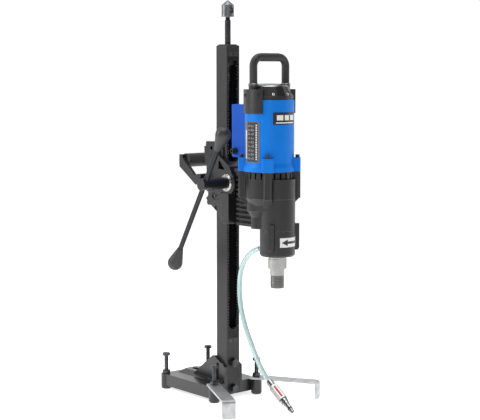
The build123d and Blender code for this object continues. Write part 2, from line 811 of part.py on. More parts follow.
def stator():
    core = ring_z(motor_x, 0, 615, 690, motor_r - shell_t - 0.1, 30)
    for side in (-1, 1):
        core -= block(motor_x + side * 50 - 8, motor_x + side * 50 + 8, -12, 12, 610, 695)
        coil = block(motor_x - 24, motor_x + 24, side * 40 - 6, side * 40 + 6, 604, 701)
        core += coil
    return core


def brushes():
    parts = []
    for side in (-1, 1):
        y0, y1 = sorted((side * 17.4, side * 57.8))
        parts.append(rod_y(motor_x, 711, y0, y1, 5))
    return Compound(parts)


def bearing(x, y, z0, z1, r_out, r_in):
    ring = ring_z(x, y, z0, z1, r_out, r_in + run_fit)
    mid = (r_out + r_in) / 2
    land = (r_out - r_in) / 6
    groove = ring_z(x, y, z1 - 0.6, z1 + 1, mid + land, mid - land)
    return ring - groove


def rotor_bearings():
    return Compound([bearing(motor_x, 0, 513, 523, 16, 7.5), bearing(motor_x, 0, 742, 751, 13, 5)])


def layshaft_bearings():
    return Compound([bearing(lay_x, lay_y, 437, 445, 9.5, 5), bearing(lay_x, lay_y, 505.5, 512.5, 9.5, 5)])


def spindle_bearings():
    lower = bearing(spindle_x, 0, 381, 399, 31, spindle_r)
    upper = bearing(spindle_x, 0, 480, 492, 17.5, spindle_top_r)
    return Compound([lower, upper])


def spindle_seal():
    return ring_z(spindle_x, 0, 371, 380, 31, seal_seat_r + run_fit)


def fitting_axis():
    (x0, y0, z0), (x1, _, z1) = hose_route[0], hose_route[1]
    return Pos(x0, y0, z0) * Rot(0, degrees(atan2(x0 - x1, z0 - z1)), 0)


def hose_fitting():
    body = Cylinder(4.98, 26, align=(Align.CENTER, Align.CENTER, Align.MIN))
    body += Pos(0, 0, 6) * hexagon(13, 10)
    body += Pos(0, 0, 0) * Cylinder(5.5, 6, align=(Align.CENTER, Align.CENTER, Align.MIN))
    return (fitting_axis() * body) - rod_z(spindle_x, 0, 300, 420, 31.01)


# rotor, layshaft and spindle -------------------------------------------------------------------

def rotor_shaft():
    shaft = rod_z(motor_x, 0, 499, 512.7, 6) + rod_z(motor_x, 0, 512.7, 523.3, 7.5)
    shaft += rod_z(motor_x, 0, 523.3, 741.7, 9) + rod_z(motor_x, 0, 741.7, 750.7, 5)
    turn = degrees(atan2(lay_y, lay_x - motor_x))
    return shaft + gear(motor_x, 0, stage_1_z[0], stage_1_z[1], rotor_teeth, module_1, turn)


def rotor_core():
    core = ring_z(motor_x, 0, 615, 690, 29.4, 9)
    for k in range(12):
        slot = block(24, 31, -1.2, 1.2, 600, 700)
        core -= Pos(motor_x, 0, 0) * Rot(0, 0, 30 * k) * slot
    for z0, z1 in ((606, 615), (690, 698)):
        core += ring_z(motor_x, 0, z0, z1, 24, 9)
    return core


def commutator():
    bars = ring_z(motor_x, 0, 700, 722, 17, 9)
    for k in range(24):
        gap = block(15.5, 18, -0.3, 0.3, 699, 723)
        bars -= Pos(motor_x, 0, 0) * Rot(0, 0, 15 * k) * gap
    return bars


def fan():
    wheel = ring_z(motor_x, 0, 553, 555.5, 50, 9) + ring_z(motor_x, 0, 553, 570, 14, 9)
    for k in range(12):
        blade = block(12, 49, -1, 1, 555, 568)
        wheel += Pos(motor_x, 0, 0) * Rot(0, 0, 30 * k) * blade
    return wheel


def layshaft():
    shaft = rod_z(lay_x, lay_y, 437.5, 512, 5) + rod_z(lay_x, lay_y, 445.4, 505.1, 7.5)
    mesh_1 = degrees(atan2(-lay_y, motor_x - lay_x))
    shaft += gear(lay_x, lay_y, stage_1_z[0], stage_1_z[1], lay_gear_teeth, module_1,
                  mesh_1 + 180 / lay_gear_teeth)
    mesh_2 = degrees(atan2(-lay_y, spindle_x - lay_x))
    return shaft + gear(lay_x, lay_y, stage_2_z[0] - 2, 479, lay_pinion_teeth, module_2, mesh_2)


def output_gear():
    mesh = degrees(atan2(lay_y, lay_x - spindle_x))
    wheel = gear(spindle_x, 0, stage_2_z[0], stage_2_z[1], output_teeth, module_2,
                 mesh + 180 / output_teeth)
    wheel += rod_z(spindle_x, 0, 440, stage_2_z[1], 22)
    return wheel - rod_z(spindle_x, 0, 430, 500, spindle_r)


def spindle():
    shaft = rod_z(spindle_x, 0, spindle_tip_z, thread_top_z, thread_r)
    shaft += rod_z(spindle_x, 0, thread_top_z, wrench_low_z, spindle_neck_r)
    collar = rod_z(spindle_x, 0, wrench_low_z, wrench_high_z, wrench_r)
    flat = wrench_flats / 2
    shaft += collar & block(spindle_x - flat, spindle_x + flat, -30, 30, wrench_low_z, wrench_high_z)
    shaft += rod_z(spindle_x, 0, wrench_high_z, 380.7, seal_seat_r)
    shaft += rod_z(spindle_x, 0, 380.7, 471, spindle_r)
    shaft += rod_z(spindle_x, 0, 471, 491.5, spindle_top_r)
    return shaft - rod_z(spindle_x, 0, 280, 400, 6)


# crank -----------------------------------------------------------------------------------------

def pinion_shaft():
    wheel = lift(gear_outline(pinion_teeth, rack_module, rack_backlash), 2 * pinion_half_w)
    wheel = Pos(pinion_x, pinion_half_w, pinion_z) * Rot(90, 0, 0) * wheel
    wheel += rod_y(pinion_x, pinion_z, -bush_out, bush_out, journal_r)
    return wheel + rod_y(pinion_x, pinion_z, -78, -bush_out, 10)


def tommy_axis():
    return Pos(pinion_x, tommy_y, pinion_z) * Rot(0, tommy_tilt, 0)


def crank_hub():
    hub = rod_y(pinion_x, pinion_z, hub_end_y, -bush_out - 0.3, hub_r)
    hub -= rod_y(pinion_x, pinion_z, -79, -bush_out, 10.02)
    hub -= tommy_axis() * Cylinder(tommy_r + run_fit, 60)
    return hub - rod_z(pinion_x, lock_screw_y, pinion_z + hub_r - 10, pinion_z + hub_r, 2)


def hub_screw():
    screw = cap_screw(3.6, 3.4, 1.98, 9.5, 3) - rod_z(0, 0, -20, -9, 4)
    return Pos(pinion_x, lock_screw_y, pinion_z + hub_r) * screw


def tommy_bar():
    length = tommy_up + tommy_down + 2 * knob_hole_deep
    middle = (tommy_up - tommy_down) / 2
    return tommy_axis() * Pos(0, 0, middle) * Cylinder(tommy_r, length)


# a cone from the neck that runs smoothly into a ball
def knob():
    reach = hypot(knob_neck_r, knob_mid)
    flare = asin(knob_r / reach) - atan2(knob_neck_r, knob_mid)
    touch_r = knob_r * cos(flare)
    touch_z = knob_mid - knob_r * sin(flare)
    shape = cone_z(0, 0, 0, touch_z, knob_neck_r, touch_r) + Pos(0, 0, knob_mid) * Sphere(knob_r)
    return shape - rod_z(0, 0, -1, knob_hole_deep, tommy_r)


def tommy_knobs():
    axis = tommy_axis()
    return Compound([axis * Pos(0, 0, tommy_up) * knob(),
                     axis * Pos(0, 0, -tommy_down) * Rot(180, 0, 0) * knob()])


# water connection ------------------------------------------------------------------------------

def water_hose():
    points = [Vector(*p) for p in hose_route]
    radii = []
    for a, b, c in zip(points, points[1:], points[2:]):
        turn = radians((b - a).get_angle(c - b))
        radii.append(bend_share * min((b - a).length, (c - b).length) / tan(turn / 2))
    path = FilletPolyline(*points, radius=radii)
    print("hose radii", [round(r, 1) for r in radii], "length", round(path.length, 2))
    start = Plane(origin=points[0], z_dir=points[1] - points[0])
    hose = sweep(start * Circle(hose_r), path=path)
    return hose - sweep(start * Circle(hose_r - 2), path=path)


# both ends of the last run have the same y
def coupler_axis():
    (x0, _, z0), (x1, y1, z1) = hose_route[-2], hose_route[-1]
    return Pos(x1, y1, z1) * Rot(0, degrees(atan2(x1 - x0, z1 - z0)), 0)


def turned(z0, z1, r):
    return Pos(0, 0, (z0 + z1) / 2) * Cylinder(r, z1 - z0)


def hose_ferrule():
    return coupler_axis() * (turned(-2, 12, 8.5) - turned(-3, 0, hose_r + 0.02) - turned(-1, 13, 4))


def coupler_body():
    body = turned(12, 16, 8)
    body += Pos(0, 0, 16) * hexagon(20, 42)
    body += turned(58, 60, 8.5) + turned(60, 66, 9.5)
    return coupler_axis() * (body - turned(11, 70, 5))


def coupler_nipple():
    stem = turned(66, 74, 8) + turned(74, 92, 6) + turned(92, 98, 5)
    return coupler_axis() * (stem - turned(86, 89, 7) + turned(85, 90, 4.8) - turned(60, 100, 3))


def coupler_o_ring():
    return coupler_axis() * (Pos(0, 0, 87.5) * Torus(5.4, 1.2) - turned(86, 89, 4.8))


os.makedirs("parts", exist_ok=True)
nodes = {
    "base": base(), "column": column(), "rack": rack(), "rack_screws": rack_screws(),
    "top_plug": top_plug(), "column_bolts": column_bolts(), "column_washers": column_washers(),
    "foot_lock_nuts": foot_lock_nuts(), "jack_screw": jack_screw(),
    "levelling_bolt_front_left": levelling_bolt(foot_front_x, -foot_y),
    "levelling_bolt_front_right": levelling_bolt(foot_front_x, foot_y),
    "levelling_bolt_rear_left": levelling_bolt(foot_rear_x, -foot_y),
    "levelling_bolt_rear_right": levelling_bolt(foot_rear_x, foot_y),
    "stabiliser_bar_left": stabiliser_bar(foot_front_x, -foot_y, left_splay),
    "stabiliser_bar_right": stabiliser_bar(foot_front_x, foot_y, right_splay),
    "carriage_body": carriage_body(), "gib_screws": gib_screws(), "guide_pads": guide_pads(),
    "pinion_bushes": pinion_bushes(), "rear_handle_frame": rear_handle_frame(),
    "rear_handle_grip": rear_handle_grip(), "rear_handle_screws": rear_handle_screws(),
    "motor_bracket": motor_bracket(), "bracket_screws": bracket_screws(),
    "gearbox_case": gearbox_case(), "gear_nose": gear_nose(), "nose_screws": nose_screws(),
    "motor_housing": motor_housing(), "housing_screws": housing_screws(), "switch_box": switch_box(),
    "cable_gland": cable_gland(), "top_cap": top_cap(), "brush_covers": brush_covers(),
    "carry_handle": carry_handle(), "front_plate": front_plate(), "rating_plate": rating_plate(),
    "stator": stator(), "brushes": brushes(), "rotor_bearings": rotor_bearings(),
    "layshaft_bearings": layshaft_bearings(), "spindle_bearings": spindle_bearings(),
    "spindle_seal": spindle_seal(), "hose_fitting": hose_fitting(), "rotor_shaft": rotor_shaft(),
    "rotor_core": rotor_core(), "commutator": commutator(), "fan": fan(), "layshaft": layshaft(),
    "spindle": spindle(), "output_gear": output_gear(), "pinion_shaft": pinion_shaft(),
    "crank_hub": crank_hub(), "hub_screw": hub_screw(), "tommy_bar": tommy_bar(),
    "tommy_knobs": tommy_knobs(), "water_hose": water_hose(), "hose_ferrule": hose_ferrule(),
    "coupler_body": coupler_body(), "coupler_nipple": coupler_nipple(),
    "coupler_o_ring": coupler_o_ring(),
}
for name, shape in nodes.items():
    export_step(Pos(-mid_x, -mid_y, 0) * shape, f"parts/{name}.step")
print(len(nodes), "nodes; frame shift", round(-mid_x, 4), round(-mid_y, 4))
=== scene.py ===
from math import cos, pi, radians, sin

import bmesh
import bpy
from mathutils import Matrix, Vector


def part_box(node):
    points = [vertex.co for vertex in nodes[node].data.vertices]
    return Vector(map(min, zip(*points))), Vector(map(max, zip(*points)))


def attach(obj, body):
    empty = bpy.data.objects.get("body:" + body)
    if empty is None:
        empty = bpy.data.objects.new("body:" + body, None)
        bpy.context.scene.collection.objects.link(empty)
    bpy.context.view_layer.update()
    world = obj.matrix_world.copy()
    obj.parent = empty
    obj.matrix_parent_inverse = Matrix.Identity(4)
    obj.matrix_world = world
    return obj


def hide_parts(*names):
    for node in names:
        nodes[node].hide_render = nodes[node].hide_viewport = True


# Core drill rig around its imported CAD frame. Everything is in metres; mm() brings millimetres in.
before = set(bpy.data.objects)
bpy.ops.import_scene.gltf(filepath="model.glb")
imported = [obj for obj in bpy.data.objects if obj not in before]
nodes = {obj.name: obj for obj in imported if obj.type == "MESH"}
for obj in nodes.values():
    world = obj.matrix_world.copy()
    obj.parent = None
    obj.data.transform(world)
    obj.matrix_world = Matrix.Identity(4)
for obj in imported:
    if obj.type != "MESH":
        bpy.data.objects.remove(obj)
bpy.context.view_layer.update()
scene = bpy.context.scene
print("frame loaded:", len(nodes), "nodes")


def mm(value):
    return value / 1000


def middle(node):
    low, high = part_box(node)
    return (Vector(low) + Vector(high)) / 2


columnAxis = middle("column").to_2d()  # the column's axis, in plan
spindleAxis = middle("spindle").to_2d()
motorAxis = middle("rotor_core").to_2d()


cameraSet = {
    "turn": 49.6,  # degrees round the rig from its crank side
    "distance": 3.1625,  # m, level, from the column
    "height": 0.7987,  # of the lens above the floor
    "aim": 0.463,  # height it looks at
    "aside": 0.0295,  # right of the column
    "lens": 97.5,
}


def placeCamera(c):
    a = radians(c["turn"])
    right = Vector((cos(a), sin(a), 0))
    back = Vector((sin(a), -cos(a), 0))
    start = columnAxis.to_3d() + right * c["aside"]
    eye = start + back * c["distance"] + Vector((0, 0, c["height"]))
    aim = start + Vector((0, 0, c["aim"]))
    data = bpy.data.cameras.new("camera")
    data.lens = c["lens"]
    data.sensor_width = 36
    data.clip_end = 50
    cam = bpy.data.objects.new("camera", data)
    cam.location = eye
    cam.rotation_euler = (aim - eye).to_track_quat("-Z", "Y").to_euler()
    scene.collection.objects.link(cam)
    scene.camera = cam


placeCamera(cameraSet)


# sRGB hex to the linear colour that a shader takes
def linear(hexColour):
    values = [int(hexColour[i:i + 2], 16) / 255 for i in (1, 3, 5)]
    return [v / 12.92 if v <= 0.04045 else ((v + 0.055) / 1.055) ** 2.4 for v in values] + [1]


def newMaterial(name, **shader):
    mat = bpy.data.materials.new(name)
    mat.use_nodes = True
    bsdf = mat.node_tree.nodes["Principled BSDF"]
    for socket, value in shader.items():
        bsdf.inputs[socket.replace("_", " ")].default_value = value
    return mat, bsdf


def addNode(mat, kind, sockets=None, **settings):
    node = mat.node_tree.nodes.new("ShaderNode" + kind)
    for key, value in settings.items():
        setattr(node, key, value)
    for key, value in (sockets or {}).items():
        if isinstance(value, bpy.types.NodeSocket):
            mat.node_tree.links.new(value, node.inputs[key])
        else:
            node.inputs[key].default_value = value
    return node


def join(mat, fromSocket, toSocket):
    mat.node_tree.links.new(fromSocket, toSocket)


def grains(sizeMm):
    return 1000 / sizeMm  # noise scale for features of this size


def placeCoordinates(mat):
    return addNode(mat, "TexCoord").outputs["Object"]


def noise(mat, vector, sizeMm, detail):
    node = addNode(mat, "TexNoise", {"Vector": vector, "Scale": grains(sizeMm), "Detail": detail})
    return node.outputs["Fac"]


# Corners rounded for the light only
def softEdge(mat, radiusMm):
    return addNode(mat, "Bevel", {"Radius": mm(radiusMm)}, samples=4).outputs["Normal"]


# White where the rounded normal leaves the flat one: the corners
def edgeMask(mat, bevel, sharp=0.93):
    flat = addNode(mat, "NewGeometry").outputs["Normal"]
    dot = addNode(mat, "VectorMath", {0: bevel, 1: flat}, operation="DOT_PRODUCT").outputs["Value"]
    wornAndLitEdge = addNode(mat, "MapRange", {"Value": dot, "From Min": 0.999, "From Max": sharp,
                                     "To Min": 0.0, "To Max": 1.0})
    return wornAndLitEdge.outputs["Result"]


def mixColour(mat, factor, first, second):
    node = addNode(mat, "Mix", data_type="RGBA")
    for socket, value in zip((node.inputs[0], node.inputs[6], node.inputs[7]), (factor, first, second)):
        if isinstance(value, bpy.types.NodeSocket):
            join(mat, value, socket)
        else:
            socket.default_value = value
    return node.outputs[2]


# Painted and moulded surfaces: slow patches of colour, a fine bump, and pale edges, partly rubbed wear and
# partly a painted highlight
def coated(name, hexColour, edgeWearAndHighlightHex, roughness, grainMm, bump, patchMm=60, edgeMm=0.8, edgeWearAndHighlight=0.35,
           spread=0.08, ior=1.5, coat=0.0, gleam=0.5):
    mat, bsdf = newMaterial(name, IOR=ior, Metallic=0.0, Coat_Weight=coat, Coat_Roughness=0.25,
                            Specular_IOR_Level=gleam)
    place = placeCoordinates(mat)
    bevel = softEdge(mat, edgeMm)
    patch = noise(mat, place, patchMm, 3.0)
    fine = noise(mat, place, grainMm, 2.0)
    base = linear(hexColour)
    lighter = [min(1, v * 1.25 + 0.004) for v in base[:3]] + [1]  # the coat's thin places
    colour = mixColour(mat, patch, base, lighter)
    broken = noise(mat, place, 5, 4.0)  # breaks the pale edge, wear and painted highlight together, into spots
    mask = edgeMask(mat, bevel)
    wornAndLitEdge = addNode(mat, "Math", {0: mask, 1: broken}, operation="MULTIPLY").outputs[0]
    amount = addNode(mat, "Math", {0: wornAndLitEdge, 1: edgeWearAndHighlight}, operation="MULTIPLY").outputs[0]
    # corners lightened in colour: partly rubbed wear, partly a painted highlight where the edges catch light
    join(mat, mixColour(mat, amount, colour, linear(edgeWearAndHighlightHex)), bsdf.inputs["Base Color"])
    rough = addNode(mat, "MapRange", {"Value": patch, "To Min": roughness - spread,
                                      "To Max": roughness + spread}).outputs["Result"]
    join(mat, rough, bsdf.inputs["Roughness"])
    relief = addNode(mat, "Bump", {"Height": fine, "Normal": bevel, "Strength": bump,
                                   "Distance": mm(0.25)}).outputs["Normal"]
    join(mat, relief, bsdf.inputs["Normal"])
    return mat


# Bare and plated metal: marks drawn out along one direction, and faint stains. Real marks are
# finer than markMm, which is as coarse as it needs to be to show. Below lowTop (mm) the colour is
# lowHex, and faces that slope up or down take flankGlintHex as a painted highlight.
def metal(name, hexColour, roughness, markMm=0.6, stretch=(1, 1, 1), bump=0.15, edgeMm=0.4,
          darkHex=None, stain=0.3, spread=0.1, lowHex=None, lowTop=0, flankGlintHex=None):
    mat, bsdf = newMaterial(name, Metallic=1.0)
    place = placeCoordinates(mat)
    bevel = softEdge(mat, edgeMm)
    drawn = addNode(mat, "Mapping", {"Vector": place, "Scale": stretch}).outputs["Vector"]
    marks = noise(mat, drawn, markMm, 3.0)
    cloud = noise(mat, place, 18, 4.0)  # stains about as wide as a thumb
    base = linear(hexColour)
    dark = linear(darkHex) if darkHex else [v * 0.6 for v in base[:3]] + [1]
    amount = addNode(mat, "MapRange", {"Value": cloud, "From Min": 0.4, "From Max": 0.75,
                                       "To Min": 0.0, "To Max": stain}).outputs["Result"]
    colour = mixColour(mat, amount, base, dark)
    if lowHex:
        height = addNode(mat, "SeparateXYZ", {"Vector": place}).outputs["Z"]
        above = addNode(mat, "MapRange", {"Value": height, "From Min": mm(lowTop),
                                          "From Max": mm(lowTop + 1), "To Min": 0.0,
                                          "To Max": 1.0}).outputs["Result"]
        colour = mixColour(mat, above, linear(lowHex), colour)
    # painted highlight: faces that slope up or down are lightened towards the flank colour
    if flankGlintHex:
        facing = addNode(mat, "NewGeometry").outputs["Normal"]
        rise = addNode(mat, "SeparateXYZ", {"Vector": facing}).outputs["Z"]
        steep = addNode(mat, "Math", {0: rise}, operation="ABSOLUTE").outputs[0]
        flankGlint = addNode(mat, "MapRange", {"Value": steep, "From Min": 0.5, "From Max": 0.8,
                                          "To Min": 0.0, "To Max": 1.0}).outputs["Result"]
        colour = mixColour(mat, flankGlint, colour, linear(flankGlintHex))
    join(mat, colour, bsdf.inputs["Base Color"])
    rough = addNode(mat, "MapRange", {"Value": marks, "To Min": roughness - spread,
                                      "To Max": roughness + spread}).outputs["Result"]
    join(mat, rough, bsdf.inputs["Roughness"])
    relief = addNode(mat, "Bump", {"Height": marks, "Normal": bevel, "Strength": bump,
                                   "Distance": mm(0.1)}).outputs["Normal"]
    join(mat, relief, bsdf.inputs["Normal"])
    return mat


# Printed film: flat ink under a thin clear layer
def ink(name, hexColour, roughness=0.35):
    mat, bsdf = newMaterial(name, IOR=1.49, Roughness=roughness, Coat_Weight=0.3, Coat_Roughness=0.2)
    place = placeCoordinates(mat)
    speck = noise(mat, place, 0.8, 2.0)  # print dots, drawn coarse enough to show
    base = linear(hexColour)
    faded = [v * 0.88 for v in base[:3]] + [1]
    join(mat, mixColour(mat, speck, base, faded), bsdf.inputs["Base Color"])
    return mat


finish = {
    # powder coat over cast iron: satin black, peel of about a millimetre, edges pale from wear and a painted
    # highlight
    "powderCoatCasting": coated("powderCoatCasting", "#18181a", "#8a8b8d", 0.30, 1.1, 0.2, edgeMm=1.0,
                                edgeWearAndHighlight=0.9, coat=0.3),
    # powder coat over drawn steel tube: smoother, long soft reflections
    "powderCoatTube": coated("powderCoatTube", "#1f1f20", "#606162", 0.40, 0.8, 0.18, patchMm=90),
    # milled rack: oiled dark steel, the sloping tooth flanks given a painted highlight
    "oiledRack": metal("oiledRack", "#343435", 0.36, 0.5, (1, 1, 6), 0.15, darkHex="#1c1c1d", stain=0.5,
                       flankGlintHex="#d6d6d7"),
    # black oxide fasteners: dark metal with a soft highlight
    "blackOxide": metal("blackOxide", "#5c5d5f", 0.42, 0.7, (1, 1, 1), 0.15, darkHex="#1c1c1d",
                        stain=0.5),
    # zinc plate on mild steel strip: grey, drawn along its length, a little stained
    "zincStrip": metal("zincStrip", "#cfd1d2", 0.50, 0.5, (0.15, 1, 1), 0.2, darkHex="#808284",
                       stain=0.5),
    # bright zinc screws: small pale points
    "zincScrew": metal("zincScrew", "#d4d6d8", 0.28, 0.5, (1, 1, 1), 0.1),
    # lathe-turned steel: rings round the axis, the threaded end darker with oil
    "turnedSteel": metal("turnedSteel", "#a6a6a4", 0.24, 0.45, (0.2, 0.2, 4), 0.3, darkHex="#7e7d79",
                         lowHex="#6a6a69", lowTop=324),
    # jack screw: black threaded stem, head of duller grey steel
    "jackSteel": metal("jackSteel", "#85868a", 0.42, 0.6, (0.2, 0.2, 4), 0.25, darkHex="#4c4d4f",
                       stain=0.5, lowHex="#2a2a2b", lowTop=929),
    # tommy bar: drawn bar with a thin grey oxide, a streak of light along it
    "drawnBar": metal("drawnBar", "#3c3d3f", 0.42, 0.5, (1, 1, 0.2), 0.2, darkHex="#3c3d3e", stain=0.4),
    # cut thread: bright crests with dark oil between them
    "threadSteel": metal("threadSteel", "#6e6e6d", 0.34, 0.5, (0.2, 0.2, 4), 0.3, darkHex="#4b4b4a"),
    # hardened gear steel: grey and even
    "gearSteel": metal("gearSteel", "#9b9a96", 0.33, 0.5, (1, 1, 1), 0.15),
    # ground steel ring of the feed shaft: bright ridges with dark between
    "ridgedRing": metal("ridgedRing", "#d9d9d7", 0.24, 0.4, (1, 5, 1), 0.2),
    # moulded rubber grip: matt, faintly pebbled
    "gripRubber": coated("gripRubber", "#2a2a2b", "#48494a", 0.52, 0.9, 0.35, edgeWearAndHighlight=0.2),
    # moulded phenolic knob: matt black with a soft gleam
    "knobPhenolic": coated("knobPhenolic", "#2e2e30", "#505153", 0.42, 1.4, 0.12, edgeWearAndHighlight=0.15),
    # sand-cast aluminium painted black: deep shade between the fins, their edges pale from wear and a
    # painted highlight
    "finCasting": coated("finCasting", "#131314", "#77787a", 0.40, 1.3, 0.4, edgeWearAndHighlight=0.7),
    # die-cast aluminium painted dark grey: finely textured, pale corners from wear and a painted highlight
    "gearboxPaint": coated("gearboxPaint", "#1c1c1d", "#8a8b8d", 0.32, 0.7, 0.22, patchMm=70,
                           edgeMm=1.2, edgeWearAndHighlight=0.8),
    # glass-filled nylon shell: strong blue, fine mould texture, low gloss
    "blueNylon": coated("blueNylon", "#0074d4", "#3b8df0", 0.40, 0.6, 0.10, edgeWearAndHighlight=0.3, spread=0.05,
                        gleam=0.2),
    # switch box: a deeper blue of the same nylon
    "blueNylonBox": coated("blueNylonBox", "#024cae", "#4f79dc", 0.42, 0.6, 0.10, edgeWearAndHighlight=0.3,
                           spread=0.05, gleam=0.2),
    # black nylon cap and covers: smooth, with a clear highlight
    "blackNylon": coated("blackNylon", "#242425", "#606163", 0.32, 0.7, 0.15, edgeWearAndHighlight=0.3),
    # worn satin alloy on the cap and its lugs: pale where light skims it, dark elsewhere
    "capAlloy": metal("capAlloy", "#9a9b9d", 0.26, 0.6, (1, 1, 1), 0.2, darkHex="#3d3e40", stain=0.7),
    # nitrile rubber seals: black and dull
    "nitrile": coated("nitrile", "#161616", "#2a2a2a", 0.5, 0.8, 0.2, edgeWearAndHighlight=0.1),
    # moulded carbon: flat black
    "carbonBlack": coated("carbonBlack", "#1d1d1e", "#39393a", 0.6, 0.9, 0.3),
    # polymer slides: black with a waxy sheen
    "slidePolymer": coated("slidePolymer", "#1b1b1c", "#343435", 0.45, 1.0, 0.15, edgeWearAndHighlight=0.2),
    # copper bars: warm, drawn along the shaft
    "copper": metal("copper", "#c8794e", 0.3, 0.6, (1, 1, 0.2), 0.2),
    # stacked iron sheets: fine lines across the shaft
    "lamination": metal("lamination", "#77787a", 0.4, 0.5, (0.2, 0.2, 6), 0.5),
    # nickel plate on brass: smooth and bright, slightly warm
    "nickelPlate": metal("nickelPlate", "#a2a2a1", 0.2, 0.8, (1, 1, 1), 0.05, darkHex="#a5a5a3",
                         stain=0.2, spread=0.05),
    # printed film of the two plates and the arrow
    "plateFilm": ink("plateFilm", "#19191b"),
    "plateGrey": ink("plateGrey", "#6b6b6e"),
    "plateDark": ink("plateDark", "#2c2c2f"),
    "whiteInk": ink("whiteInk", "#f2f2f0"),
    "blackInk": ink("blackInk", "#1a1a1a"),
    "redInk": ink("redInk", "#d0242c"),
    "greyInk": ink("greyInk", "#b4b4b6"),
}

nodeFinish = {
    "powderCoatCasting": ["base", "carriage_body", "rear_handle_frame", "crank_hub"],
    "powderCoatTube": ["column", "top_plug"],
    "oiledRack": ["rack"],
    "blackOxide": ["column_bolts", "column_washers", "foot_lock_nuts", "levelling_bolt_front_left",
                   "levelling_bolt_front_right", "levelling_bolt_rear_left", "levelling_bolt_rear_right",
                   "rear_handle_screws", "bracket_screws", "nose_screws", "housing_screws",
                   "rack_screws", "gib_screws"],
    "drawnBar": ["tommy_bar"],
    "zincStrip": ["stabiliser_bar_left", "stabiliser_bar_right"],
    "zincScrew": ["hub_screw"],
    "turnedSteel": ["spindle"],
    "jackSteel": ["jack_screw"],
    "gearSteel": ["rotor_shaft", "layshaft", "output_gear", "pinion_shaft"],
    "ridgedRing": ["pinion_bushes", "rotor_bearings", "layshaft_bearings", "spindle_bearings"],
    "gripRubber": ["rear_handle_grip", "carry_handle"],
    "knobPhenolic": ["tommy_knobs"],
    "finCasting": ["motor_bracket"],
    "gearboxPaint": ["gearbox_case", "gear_nose"],
    "blueNylon": ["motor_housing"],
    "blueNylonBox": ["switch_box"],
    "blackNylon": ["top_cap", "brush_covers"],
    "nitrile": ["cable_gland", "spindle_seal", "coupler_o_ring"],
    "carbonBlack": ["fan", "brushes"],
    "slidePolymer": ["guide_pads"],
    "copper": ["commutator"],
    "lamination": ["stator", "rotor_core"],
    "nickelPlate": ["hose_fitting", "hose_ferrule", "coupler_body", "coupler_nipple"],
    "plateFilm": ["front_plate"],
    "plateGrey": ["rating_plate"],
}
for finishName, names in nodeFinish.items():
    for nodeName in names:
        mesh = nodes[nodeName].data
        mesh.materials.clear()
        mesh.materials.append(finish[finishName])
print("materials made:", len(finish))


# A mesh piece with its finish and body
def addPiece(name, verts, faces, material, body, slot, smooth=True):
    mesh = bpy.data.meshes.new(name)
    mesh.from_pydata([tuple(v) for v in verts], [], faces)
    mesh.validate()
    bm = bmesh.new()
    bm.from_mesh(mesh)
    bmesh.ops.recalc_face_normals(bm, faces=bm.faces)
    bm.to_mesh(mesh)
    bm.free()
    mesh.materials.append(finish[material])
    if smooth:
        mesh.shade_smooth()
        mesh.set_sharp_from_angle(angle=radians(40))
    piece = bpy.data.objects.new(name, mesh)
    scene.collection.objects.link(piece)
    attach(piece, body)
    return piece


# Closed loops of equal length joined in order; ends closed when asked
def skin(loops, closed=True, ends=True):
    count = len(loops[0])
    verts = [v for loop in loops for v in loop]
    faces = []
    for k in range(len(loops) - 1):
        for i in range(count if closed else count - 1):
            j = (i + 1) % count
            faces.append((k * count + i, k * count + j, (k + 1) * count + j, (k + 1) * count + i))
    if ends:
        faces.append(tuple(range(count))[::-1])
        faces.append(tuple((len(loops) - 1) * count + i for i in range(count)))
    return verts, faces


# Two directions square to an axis and to each other
def across(axis):
    side = axis.orthogonal().normalized()
    return side, axis.cross(side)


def ringLoop(centre, axis, radius, count):
    axis = Vector(axis).normalized()
    side, up = across(axis)
    return [Vector(centre) + (side * cos(2 * pi * i / count) + up * sin(2 * pi * i / count)) * radius
            for i in range(count)]


# A turned part: (distance along the axis, radius) pairs in millimetres
def turnedPart(start, axis, profile, count=48):
    axis = Vector(axis).normalized()
    return skin([ringLoop(Vector(start) + axis * mm(s), axis, mm(r), count) for s, r in profile])


# One solid helical ridge, as a screw thread has, standing on a round shank and sunk into it
def threadRidge(start, length, t, steps=20):
    axis = Vector((0, 0, 1))
    side, up = across(axis)
    sunk = -0.25
    shape = ((-0.44, sunk), (-0.1, t["height"]), (0.1, t["height"]), (0.44, sunk))  # pitches, mm
    turns = int(length / t["pitch"])
    loops = []
    for k in range(turns * steps + 1):
        a = 2 * pi * k / steps
        out = side * cos(a) + up * sin(a)
        s = t["pitch"] * k / steps + t["pitch"] * 0.5
        fade = min(1, k / steps, (turns * steps - k) / steps + 0.02)  # runs in and out over a turn
        loop = []
        for ds, dr in shape:
            rise = dr * fade if dr > 0 else dr
            loop.append(Vector(start) + axis * mm(s + ds * t["pitch"]) + out * mm(t["radius"] + rise))
        loops.append(loop)
    return skin(loops)


# A thin curved patch on an upright cylinder, between two bearings in degrees and two heights in
# millimetres
def patchBand(axisXY, radius, thick, a0, a1, z0, z1):
    count = max(2, int(abs(a1 - a0) / 3) + 1)
    loops = []
    for k in range(count):
        t = radians(a0 + (a1 - a0) * k / (count - 1))
        out = Vector((cos(t), sin(t), 0))
        base = Vector((axisXY.x, axisXY.y, 0))
        loops.append([base + out * mm(radius) + Vector((0, 0, mm(z0))),
                      base + out * mm(radius + thick) + Vector((0, 0, mm(z0))),
                      base + out * mm(radius + thick) + Vector((0, 0, mm(z1))),
                      base + out * mm(radius) + Vector((0, 0, mm(z1)))])
    return skin(loops)


def addParts(name, parts, material, body, slot, smooth=True):
    verts, faces = [], []
    for partVerts, partFaces in parts:
        base = len(verts)
        verts += partVerts
        faces += [tuple(base + i for i in face) for face in partFaces]
    return addPiece(name, verts, faces, material, body, slot, smooth)


